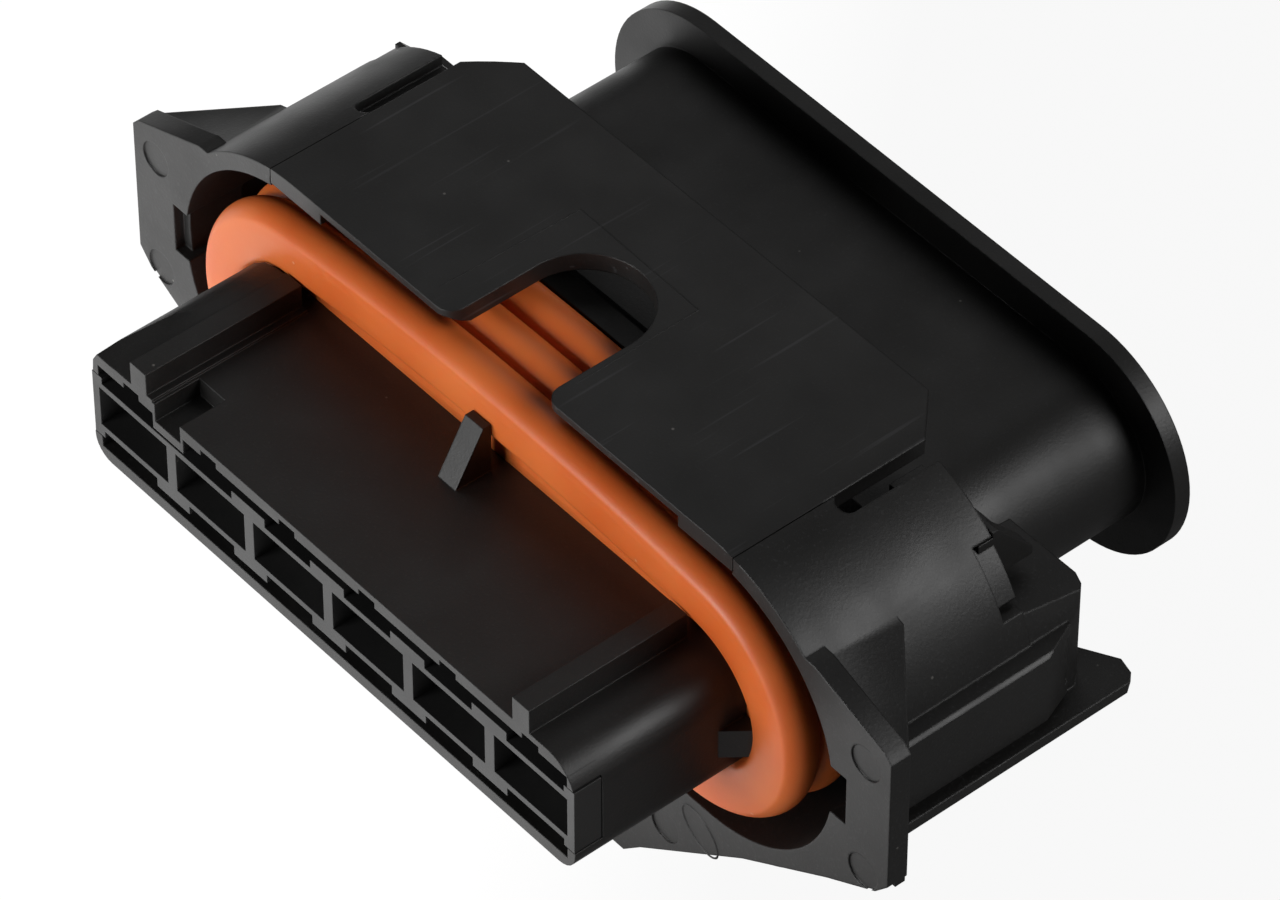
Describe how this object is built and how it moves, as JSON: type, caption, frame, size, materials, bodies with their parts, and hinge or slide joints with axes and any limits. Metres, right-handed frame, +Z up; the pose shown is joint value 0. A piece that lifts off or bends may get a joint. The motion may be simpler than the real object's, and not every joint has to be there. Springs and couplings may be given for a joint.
{
  "type": "sealed automotive connector",
  "caption": "Sealed in-line wire connector plug: a row of flat contact mouths in a rounded nose, orange lip seal, flanged lock shroud with a rocking top latch plate and oval rear collar.",
  "frame": {"origin": "middle of the mating face, on the centre line of the contact row", "axes": "+X along the contact row, +Y from the mating face to the wire side, +Z up towards the latch plate"},
  "size_m": [0.047, 0.0302, 0.0223],
  "materials": {
    "housing": "matte, fine spark-eroded grain",
    "lock": "matte",
    "seal": "satin",
    "plug": "satin",
    "contact": "tin plated",
    "spring": "bright"
  },
  "bodies": {
    "housing": {"contact_carrier": "housing", "lock_shroud": "housing", "lip_seal": "seal", "contact_1": "contact", "contact_2": "contact", "contact_3": "contact", "contact_4": "contact", "contact_5": "contact", "contact_6": "contact", "over_spring_1": "spring", "over_spring_2": "spring", "over_spring_3": "spring", "over_spring_4": "spring", "over_spring_5": "spring", "over_spring_6": "spring", "wire_seal_1": "plug", "wire_seal_2": "plug", "wire_seal_3": "plug", "wire_seal_4": "plug", "wire_seal_5": "plug", "wire_seal_6": "plug"},
    "latch": {"latch_plate": "housing"},
    "comb": {"comb_lock": "lock"}
  },
  "joints": [
    {"name": "latch_rock", "type": "hinge", "parent": "housing", "child": "latch", "pos_m": [0, 0.0129, 0.0075], "axis": [-1, 0, 0], "range_deg": [0, 8], "stiffness_Nm_per_rad": 0.05},
    {"name": "comb_release", "type": "slide", "parent": "housing", "child": "comb", "axis": [0, -1, 0], "range_m": [0, 0.0015]}
  ]
}
